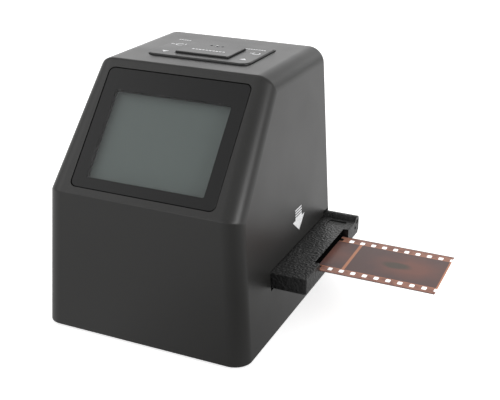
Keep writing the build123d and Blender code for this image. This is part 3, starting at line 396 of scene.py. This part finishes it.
def makeDisplay():
    tree, shader = newMaterial("displayPanel")
    cloud = noise(tree, display["cloudScale"], display["cloudDetail"])
    edge, middle = (display["cloudFrom"], display["edge"]), (display["cloudTo"], display["colour"])
    tone = ramp(tree, cloud, edge, middle)
    cells = addNode(tree, "ShaderNodeTexWave", Scale=display["cellScale"], Distortion=0.0)
    join(tree, objectPlace(tree), cells.inputs["Vector"])
    share = times(tree, cells.outputs["Fac"], display["cellShare"])
    join(tree, mixColour(tree, share, tone, display["cellColour"]), shader.inputs["Base Color"])
    shader.inputs["Roughness"].default_value = display["gloss"]
    shader.inputs["Specular IOR Level"].default_value = display["shine"]


makeDisplay()


# film: orange base with exposed frames, each a soft glow round a dark oval; sizes in mm
film = {
    "base": (0.62, 0.27, 0.155, 1), "strip": (0.43, 0.205, 0.145, 1), "worn": (0.27, 0.122, 0.092, 1),
    "rim": (0.12, 0.060, 0.050, 1), "dark": (0.140, 0.088, 0.083, 1), "glow": (0.225, 0.106, 0.085, 1),
    "oval": (0.108, 0.086, 0.070, 1), "gloss": 0.3, "shine": 0.10,
    "pitch": 38.0, "pictureLength": 37.0, "pictureHeight": 25.1, "stripStart": 12.7, "rimStart": 17.0,
    "pictureEdge": 4.0, "stripEdge": 6.0, "rimEdge": 5.0, "wearScale": 240.0, "wearDetail": 3.0,
    "wearRoughness": 0.6, "wearFrom": 0.38, "wearTo": 0.60,
}
# middle and half length as shares of the pitch, half height in mm, sharpness of the edge
pictureShapes = {
    "Glow": {"middle": -0.13, "halfLength": 0.46, "halfHeight": 12.5, "edge": 1.5},
    "Oval": {"middle": 0.02, "halfLength": 0.185, "halfHeight": 3.6, "edge": 2.4},
}
pictureCloud = {"scale": 95.0, "detail": 3.0, "reach": 0.9}


# white inside half a size from the middle, fading over a narrow edge
def insideHalf(tree, size, apart):
    return times(tree, minus(tree, over(tree, size, 2.0), apart), film["pictureEdge"], clamp=True)


def makeFilmPicture():
    inputs = {"Pitch": 38.0, "Length": 36.0, "Height": 24.0, "Start": 0.0, "Centre": 0.0}
    outputs = ["Picture", "Glow", "Oval", "Across"]
    tree, source, result = newGroup("filmPicture", inputs, [], outputs)
    place = axes(tree, objectPlace(tree))
    fromEnd = minus(tree, source.outputs["Start"], times(tree, place["X"], 1.0 / mm))
    along = over(tree, fromEnd, source.outputs["Pitch"])
    inFrame = minus(tree, maths(tree, "FRACT", along), 0.5)
    fromMiddle = times(tree, maths(tree, "ABSOLUTE", inFrame), source.outputs["Pitch"])
    across = minus(tree, times(tree, place["Y"], 1.0 / mm), source.outputs["Centre"])
    fromCentre = maths(tree, "ABSOLUTE", across)
    lengthMask = insideHalf(tree, source.outputs["Length"], fromMiddle)
    heightMask = insideHalf(tree, source.outputs["Height"], fromCentre)
    join(tree, times(tree, lengthMask, heightMask), result.inputs["Picture"])
    join(tree, fromCentre, result.inputs["Across"])
    cloud = noise(tree, pictureCloud["scale"], pictureCloud["detail"])
    stir = times(tree, minus(tree, cloud, 0.5), pictureCloud["reach"])
    for label, oval in pictureShapes.items():
        u = over(tree, minus(tree, inFrame, oval["middle"]), oval["halfLength"])
        v = over(tree, across, oval["halfHeight"])
        away = maths(tree, "SQRT", plus(tree, times(tree, u, u), times(tree, v, v)))
        inside = plus(tree, minus(tree, 1.0, away), stir)
        join(tree, times(tree, inside, oval["edge"], clamp=True), result.inputs[label])
    return tree


def makeFilm():
    tree, shader = newMaterial("filmBase")
    picture = placeGroup(
        tree, makeFilmPicture(), Pitch=film["pitch"], Length=film["pictureLength"],
        Height=film["pictureHeight"], Start=filmHigh.x / mm, Centre=(filmLow.y + filmHigh.y) / 2 / mm)
    glow = mixColour(tree, picture.outputs["Glow"], film["dark"], film["glow"])
    exposed = mixColour(tree, picture.outputs["Oval"], glow, film["oval"])
    wear = noise(tree, film["wearScale"], film["wearDetail"], film["wearRoughness"])
    aged = ramp(tree, wear, (film["wearFrom"], film["worn"]), (film["wearTo"], film["strip"]))
    across = picture.outputs["Across"]
    inStrip = times(tree, minus(tree, across, film["stripStart"]), film["stripEdge"], clamp=True)
    inRim = times(tree, minus(tree, across, film["rimStart"]), film["rimEdge"], clamp=True)
    base = mixColour(tree, inRim, mixColour(tree, inStrip, film["base"], aged), film["rim"])
    shade = mixColour(tree, picture.outputs["Picture"], base, exposed)
    join(tree, shade, shader.inputs["Base Color"])
    shader.inputs["Roughness"].default_value = film["gloss"]
    shader.inputs["Specular IOR Level"].default_value = film["shine"]


makeFilm()
print("materials ready")


finishes = {
    "shellPlastic": ["housing_shell"],
    "trayPlastic": ["tray_base", "tray_lid"],
    "keyPlastic": ["keypad_plate", "centre_key"],
    "maskInk": ["display_mask"],
    "rubberBlack": ["rubber_feet"],
    "innerPlastic": ["lcd_bracket", "rocker_ring", "key_carrier", "lower_guide", "upper_guide",
                     "light_shaft", "lens_holder"],
    "basePlastic": ["base_cover"],
    "whitePlastic": ["backlight_case"],
    "chipEpoxy": ["key_switches", "image_sensor", "processor_chip", "memory_chip"],
    "ledPhosphor": ["status_led", "backlight_leds"],
    "opalSheet": ["diffuser"],
    "screwSteel": ["base_screws", "chassis_screws", "lcd_screws", "carrier_screws",
                   "key_board_screws", "guide_screws", "shaft_screws", "sensor_screws"],
    "springSteel": ["tray_hinge_pin", "detent_spring"],
    "socketMetal": ["usb_socket", "card_socket"],
    "lensMetal": ["lens_barrel"],
    "boardLacquer": ["key_board", "backlight_board", "sensor_board", "main_board"],
    "windowAcrylic": ["display_window"],
    "clearPlastic": ["light_pipe"],
    "lensGlass": ["lens_elements"],
    "displayPanel": ["lcd_panel"],
    "filmBase": ["film_strip"],
}
for finish, names in finishes.items():
    for name in names:
        nodes[name].data.materials.clear()
        nodes[name].data.materials.append(bpy.data.materials[finish])
print("finishes placed:", len(finishes))


# a closed shape in metres becomes an object with the named finishes, laid by the matrix place
def newPiece(name, shape, place, finishNames):
    bmesh.ops.recalc_face_normals(shape, faces=shape.faces)
    shape.transform(place)
    mesh = bpy.data.meshes.new(name)
    shape.to_mesh(mesh)
    shape.free()
    for finish in finishNames:
        mesh.materials.append(bpy.data.materials[finish])
    piece = bpy.data.objects.new(name, mesh)
    bpy.context.scene.collection.objects.link(piece)
    return piece


# a matrix whose axes are the three directions, with its origin at the place
def placeOn(place, right, upward, outward):
    turn = Matrix((right, upward, outward)).transposed().to_4x4()
    return Matrix.Translation(place) @ turn


# window: a bevelled clear pane, its dark frame printed on underside, edge and rim; sizes in mm
pane = {
    "radius": 2.5, "bevel": 0.22, "lift": 0.06, "opening": (49.4, 36.4), "openingDrop": 2.34,
    "openingRadius": 0.4, "rimStep": 0.15, "rimRadius": 0.6, "steps": 8,
    "finishes": ("windowAcrylic", "maskInk", "bezelAcrylic"),
}


def roundedOutline(width, height, radius, drop=0.0):
    points = []
    for turn, (x, y) in enumerate(((1, 1), (-1, 1), (-1, -1), (1, -1))):
        for step in range(pane["steps"] + 1):
            angle = math.radians(90 * turn + 90 * step / pane["steps"])
            points.append((x * (width / 2 - radius) + radius * math.cos(angle),
                           y * (height / 2 - radius) + radius * math.sin(angle) - drop))
    return points


# the slope's own axes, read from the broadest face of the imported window, and its size
def windowPlace():
    mesh = nodes["display_window"].data
    broad = max(mesh.polygons, key=lambda face: face.area if face.normal.z > 0 else 0)
    outward = broad.normal.copy()
    right = Vector((1, 0, 0))
    upward = outward.cross(right).normalized()
    spans = []
    for axis in (right, upward, outward):
        along = [vertex.co.dot(axis) for vertex in mesh.vertices]
        spans.append((min(along), max(along)))
    middle = right * sum(spans[0]) / 2 + upward * sum(spans[1]) / 2 + outward * spans[2][1]
    size = [(high - low) / mm for low, high in spans]
    return placeOn(middle, right, upward, outward), size


def makePane():
    place, (width, height, thick) = windowPlace()
    bevel, low, drop = pane["bevel"], pane["lift"] - thick, pane["openingDrop"]
    clearSize = [side + 2 * pane["rimStep"] for side in pane["opening"]]
    outer = roundedOutline(width, height, pane["radius"])
    top = roundedOutline(width - 2 * bevel, height - 2 * bevel, pane["radius"] - bevel)
    opening = roundedOutline(*pane["opening"], pane["openingRadius"], drop)
    rim = roundedOutline(*clearSize, pane["rimRadius"], drop)
    levels = ((opening, low), (outer, low), (outer, -bevel), (top, 0.0), (rim, 0.0))
    shape = bmesh.new()
    rings = [[shape.verts.new((x * mm, y * mm, z * mm)) for x, y in points] for points, z in levels]
    shape.faces.new(rings[-1])
    shape.faces.new(reversed(rings[0]))
    for level, (first, second) in enumerate(zip(rings, rings[1:])):
        for here in range(len(first)):
            there = (here + 1) % len(first)
            face = shape.faces.new((first[here], first[there], second[there], second[here]))
            face.material_index = 2 if level > 1 else 1
    piece = newPiece("windowPane", shape, place, pane["finishes"])
    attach(piece, "housing")
    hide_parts("display_window")


makePane()
print("window pane made")


# printed marks: thin layers of ink, each a closed sheet on the face that carries it; sizes in mm
ink = {
    "thickness": 0.03, "sunk": 0.01, "gloss": 0.4, "wearScale": 2600.0, "wearFrom": 0.30, "wearTo": 0.5,
    "worn": 0.72, "strength": 0.3, "depth": 0.004,
    "colours": {"printInk": (0.88, 0.89, 0.90, 1), "arrowInk": (0.93, 0.94, 0.95, 1)},
}


def makeInk(name, colour):
    tree, shader = newMaterial(name)
    worn = noise(tree, ink["wearScale"])
    thin = ramp(tree, worn, (ink["wearFrom"], dimmed(colour, ink["worn"])), (ink["wearTo"], colour))
    join(tree, thin, shader.inputs["Base Color"])
    shader.inputs["Roughness"].default_value = ink["gloss"]
    bumpFrom(tree, shader, worn, ink["strength"], ink["depth"])


for name, colour in ink["colours"].items():
    makeInk(name, colour)


# outline of an arc of ring, as one strip: out along one side and back along the other
def band(centre, inner, outer, start, sweep, steps=28):
    angles = [math.radians(start + sweep * step / steps) for step in range(steps + 1)]
    sides = ((outer, angles), (inner, angles[::-1]))
    return [(centre[0] + radius * math.cos(angle), centre[1] + radius * math.sin(angle))
            for radius, order in sides for angle in order]


def bar(centre, width, height):
    x, y = centre
    return [(x - width / 2, y - height / 2), (x + width / 2, y - height / 2),
            (x + width / 2, y + height / 2), (x - width / 2, y + height / 2)]


# bars in a row, the first at start
def barRow(start, count, step, size):
    return [bar((start[0] + step * place, start[1]), *size) for place in range(count)]


# an outline is a triangle, or a strip whose two sides match
def fillOutline(shape, ring):
    if len(ring) == 3:
        shape.faces.new(ring)
    last = len(ring) - 1
    for here in range(len(ring) // 2 - 1):
        shape.faces.new((ring[here], ring[here + 1], ring[last - here - 1], ring[last - here]))


def inkSheet(name, outlines, place, body, finish):
    shape = bmesh.new()
    for outline in outlines:
        low = [shape.verts.new((x * mm, y * mm, -ink["sunk"] * mm)) for x, y in outline]
        high = [shape.verts.new((x * mm, y * mm, ink["thickness"] * mm)) for x, y in outline]
        fillOutline(shape, low[::-1])
        fillOutline(shape, high)
        for here in range(len(outline)):
            there = (here + 1) % len(outline)
            shape.faces.new((low[here], low[there], high[there], high[here]))
    piece = newPiece(name, shape, place, [finish])
    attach(piece, body)


# marks on the keypad, in mm from the middle of its front edge
keypadPrint = {
    "ring": (1.2, 1.75), "leftRing": ((-16.7, 18.6), 40, 290), "rightRing": ((18.3, 17.6), 130, 280),
    "ticks": (((-14.5, 19.7), 0.55, 1.6), ((-19.8, 18.6), 1.6, 0.6), ((16.4, 17.6), 1.6, 0.6)),
    "arrows": (((-18.2, 6.5), (-16.7, 4.4), (-15.2, 6.5)), ((16.1, 5.9), (19.1, 5.9), (17.6, 8.0))),
    "leftRow": ((-20.9, 27.0), 5), "rightRow": ((11.2, 24.0), 8), "rowStep": 1.15,
    "rowBar": (0.85, 0.75), "keyRow": ((-6.6, 11.2), 10), "keyStep": 1.5, "keyBar": (1.1, 0.85),
    "keyProbe": (-8.0, 8.5, 1000.0),
}


# where a straight line from a start, in mm, first meets a node
def firstHit(node, start, direction):
    return nodes[node].ray_cast(Vector(start) * mm, Vector(direction))[1]


def keypadMarks():
    look = keypadPrint
    outlines = []
    for centre, start, sweep in (look["leftRing"], look["rightRing"]):
        outlines.append(band(centre, *look["ring"], start, sweep))
    outlines += [bar(*tick) for tick in look["ticks"]]
    outlines += look["arrows"]
    for start, count in (look["leftRow"], look["rightRow"]):
        outlines += barRow(start, count, look["rowStep"], look["rowBar"])
    onPlate = Matrix.Translation((0, 0, plateTop))
    inkSheet("plateMarks", outlines, onPlate, "keypad_plate", "printInk")
    keyTop = firstHit("centre_key", look["keyProbe"], (0, 0, -1)).z
    dashes = barRow(*look["keyRow"], look["keyStep"], look["keyBar"])
    onKey = Matrix.Translation((0, 0, keyTop))
    inkSheet("keyMarks", dashes, onKey, "centre_key", "printInk")


# arrow on the right wall that shows which way the tray goes in, in mm; stripes as height and width
arrow = {
    "middle": 9.9, "tip": 34.0, "headTop": 39.2, "headWidth": 13.0, "tailWidth": 7.0,
    "stripes": ((39.8, 1.2), (41.15, 0.62), (42.3, 0.62), (43.4, 0.55)),
    "probeStart": 200.0, "probeLevel": 34.0, "probeBack": 20.0, "probeUp": 50.0,
}


# the drafted wall's outer face: x runs back, y runs up the wall from the probe's level
def sidePlane():
    level = arrow["probeLevel"]
    hits = [firstHit("housing_shell", (arrow["probeStart"], y, z), (-1, 0, 0))
            for y, z in ((0.0, level), (arrow["probeBack"], level), (0.0, arrow["probeUp"]))]
    backward = (hits[1] - hits[0]).normalized()
    outward = backward.cross(hits[2] - hits[0]).normalized()
    upward = outward.cross(backward)
    start = hits[0] - backward * hits[0].y
    return placeOn(start, backward, upward, outward)


def sideArrow():
    middle, half = arrow["middle"], arrow["headWidth"] / 2
    tip, top = arrow["tip"] - arrow["probeLevel"], arrow["headTop"] - arrow["probeLevel"]
    outlines = [[(middle - half, top), (middle, tip), (middle + half, top)]]
    for height, width in arrow["stripes"]:
        outlines.append(bar((middle, height - arrow["probeLevel"]), arrow["tailWidth"], width))
    inkSheet("sideArrow", outlines, sidePlane(), "housing", "arrowInk")


keypadMarks()
sideArrow()
print("marks printed")


# camera at the photograph's viewing angle: angles in degrees, place in metres
view = {
    "azimuth": 23.74, "elevation": 21.84, "roll": 0.78, "place": (0.16082, -0.31272, 0.18798),
    "focal": 65.72, "shiftX": 0.0039, "shiftY": -0.0165, "clipStart": 0.01,
}


def makeCamera():
    azimuth, elevation, roll = (math.radians(view[key]) for key in ("azimuth", "elevation", "roll"))
    level = math.cos(elevation)
    right = Vector((math.cos(azimuth), math.sin(azimuth), 0))
    forward = Vector((-math.sin(azimuth) * level, math.cos(azimuth) * level, -math.sin(elevation)))
    up = right.cross(forward)
    tilted = right * math.cos(roll) + up * math.sin(roll)
    data = bpy.data.cameras.new("photoCamera")
    data.lens = view["focal"]
    data.shift_x = view["shiftX"]
    data.shift_y = view["shiftY"]
    data.clip_start = view["clipStart"]
    camera = bpy.data.objects.new("photoCamera", data)
    bpy.context.scene.collection.objects.link(camera)
    camera.matrix_world = placeOn(view["place"], tilted, tilted.cross(forward), -forward)
    bpy.context.scene.camera = camera


makeCamera()


# studio: pale floor, white backdrop, soft lights; places and sizes in metres
studio = {
    "floorSize": 6.0, "worldLight": 0.62, "floorColour": 0.78, "floorGloss": 0.9, "floorGlow": 0.68,
    # mirrorNear and nearReach set painted shade near the object, darkPlace and darkReach a painted dark
    # patch, both only in the floor's reflection
    "mirrorFront": 0.89, "mirrorBack": 1.22, "mirrorNear": 0.74, "backStart": 0.10, "nearReach": 0.05,
    "fade": 6.0, "darkPlace": (0.165, -0.10, 0.0), "darkReach": 0.19,
}
lights = {
    "backSoftbox": {"place": (-0.36, 0.98, 0.30), "aim": (0, 0.02, 0.10), "size": (1.7, 0.40),
                    "power": 3.3},
    "frontSky": {"place": (-0.78, -0.44, 0.78), "aim": (0, -0.02, 0.07), "size": (0.62, 0.62),
                 "power": 1.35},
    "rightSoftbox": {"place": (0.95, -0.20, 0.36), "aim": (0.05, 0, 0.03), "size": (0.5, 0.3),
                     "power": 4.2},
    "topStrip": {"place": (-0.16, -0.16, 1.0), "aim": (0, 0, 0.1), "size": (0.5, 0.14),
                 "power": 0.35},
    "frontStrip": {"place": (-0.40, -0.90, 0.40), "aim": (0, -0.04, 0.06), "size": (0.9, 0.26),
                   "power": 1.2},
}


# from the first value to the second as the mask goes from black to white
def between(tree, mask, first, second):
    return plus(tree, times(tree, mask, second - first), first)


# what the object mirrors in the floor, a glow seen only in reflections: bright behind it, dimmer in
# front, with painted shade near the object standing for its shadow, and a painted dark patch to the
# front right
def mirroredFloor(tree):
    place = objectPlace(tree)
    behind = plus(tree, axes(tree, place)["Y"], studio["backStart"])
    far = times(tree, behind, studio["fade"], clamp=True)
    level = between(tree, far, studio["mirrorFront"], studio["mirrorBack"])
    # painted shade: the mirrored floor is darker within reach of the object, standing for its shadow
    away = addNode(tree, "ShaderNodeVectorMath", operation="LENGTH")
    join(tree, place, away.inputs[0])
    clear = minus(tree, away.outputs["Value"], studio["nearReach"])
    near = times(tree, clear, studio["fade"], clamp=True)
    paintedContactShade = between(tree, near, studio["mirrorNear"], 1.0)
    # painted dark patch to the front right, darkening what the object's front right corner mirrors
    apart = addNode(tree, "ShaderNodeVectorMath", operation="DISTANCE")
    join(tree, place, apart.inputs[0])
    apart.inputs[1].default_value = studio["darkPlace"]
    dark = over(tree, apart.outputs["Value"], studio["darkReach"])
    shade = times(tree, dark, dark, clamp=True)
    return times(tree, times(tree, level, paintedContactShade), shade)


# white for the camera, also through clear pieces
def seenMask(tree, rays):
    return plus(tree, rays.outputs["Is Camera Ray"], rays.outputs["Is Transmission Ray"], clamp=True)


def makeFloor():
    half = studio["floorSize"] / 2
    mesh = bpy.data.meshes.new("studioFloor")
    corners = [(-half, -half, 0), (half, -half, 0), (half, half, 0), (-half, half, 0)]
    mesh.from_pydata(corners, [], [(0, 1, 2, 3)])
    floor = bpy.data.objects.new("studioFloor", mesh)
    bpy.context.scene.collection.objects.link(floor)
    tree, shader = newMaterial("floorPaper")
    shader.inputs["Base Color"].default_value = grey(studio["floorColour"])
    shader.inputs["Roughness"].default_value = studio["floorGloss"]
    shader.inputs["Emission Color"].default_value = grey(1.0)
    rays = addNode(tree, "ShaderNodeLightPath")
    glow = times(tree, seenMask(tree, rays), studio["floorGlow"])
    join(tree, glow, shader.inputs["Emission Strength"])
    mirrored = addNode(tree, "ShaderNodeEmission")
    join(tree, mirroredFloor(tree), mirrored.inputs["Strength"])
    mixShaders(tree, rays.outputs["Is Glossy Ray"], shader.outputs[0], mirrored.outputs[0])
    mesh.materials.append(bpy.data.materials["floorPaper"])


def makeWorld():
    world = bpy.data.worlds.new("studioWorld")
    world.use_nodes = True
    tree = world.node_tree
    background = tree.nodes["Background"]
    background.inputs["Color"].default_value = grey(1.0)
    seen = seenMask(tree, addNode(tree, "ShaderNodeLightPath"))
    join(tree, between(tree, seen, studio["worldLight"], 1.0), background.inputs["Strength"])
    bpy.context.scene.world = world


def makeLights():
    for name, setting in lights.items():
        data = bpy.data.lights.new(name, "AREA")
        data.shape = "RECTANGLE"
        data.energy = setting["power"]
        data.size, data.size_y = setting["size"]
        lamp = bpy.data.objects.new(name, data)
        lamp.location = setting["place"]
        lamp.visible_camera = False
        toward = Vector(setting["aim"]) - Vector(setting["place"])
        lamp.rotation_euler = toward.to_track_quat("-Z", "Y").to_euler()
        bpy.context.scene.collection.objects.link(lamp)


makeFloor()
makeWorld()
makeLights()
bpy.context.scene.view_settings.view_transform = "Standard"
print("studio ready")
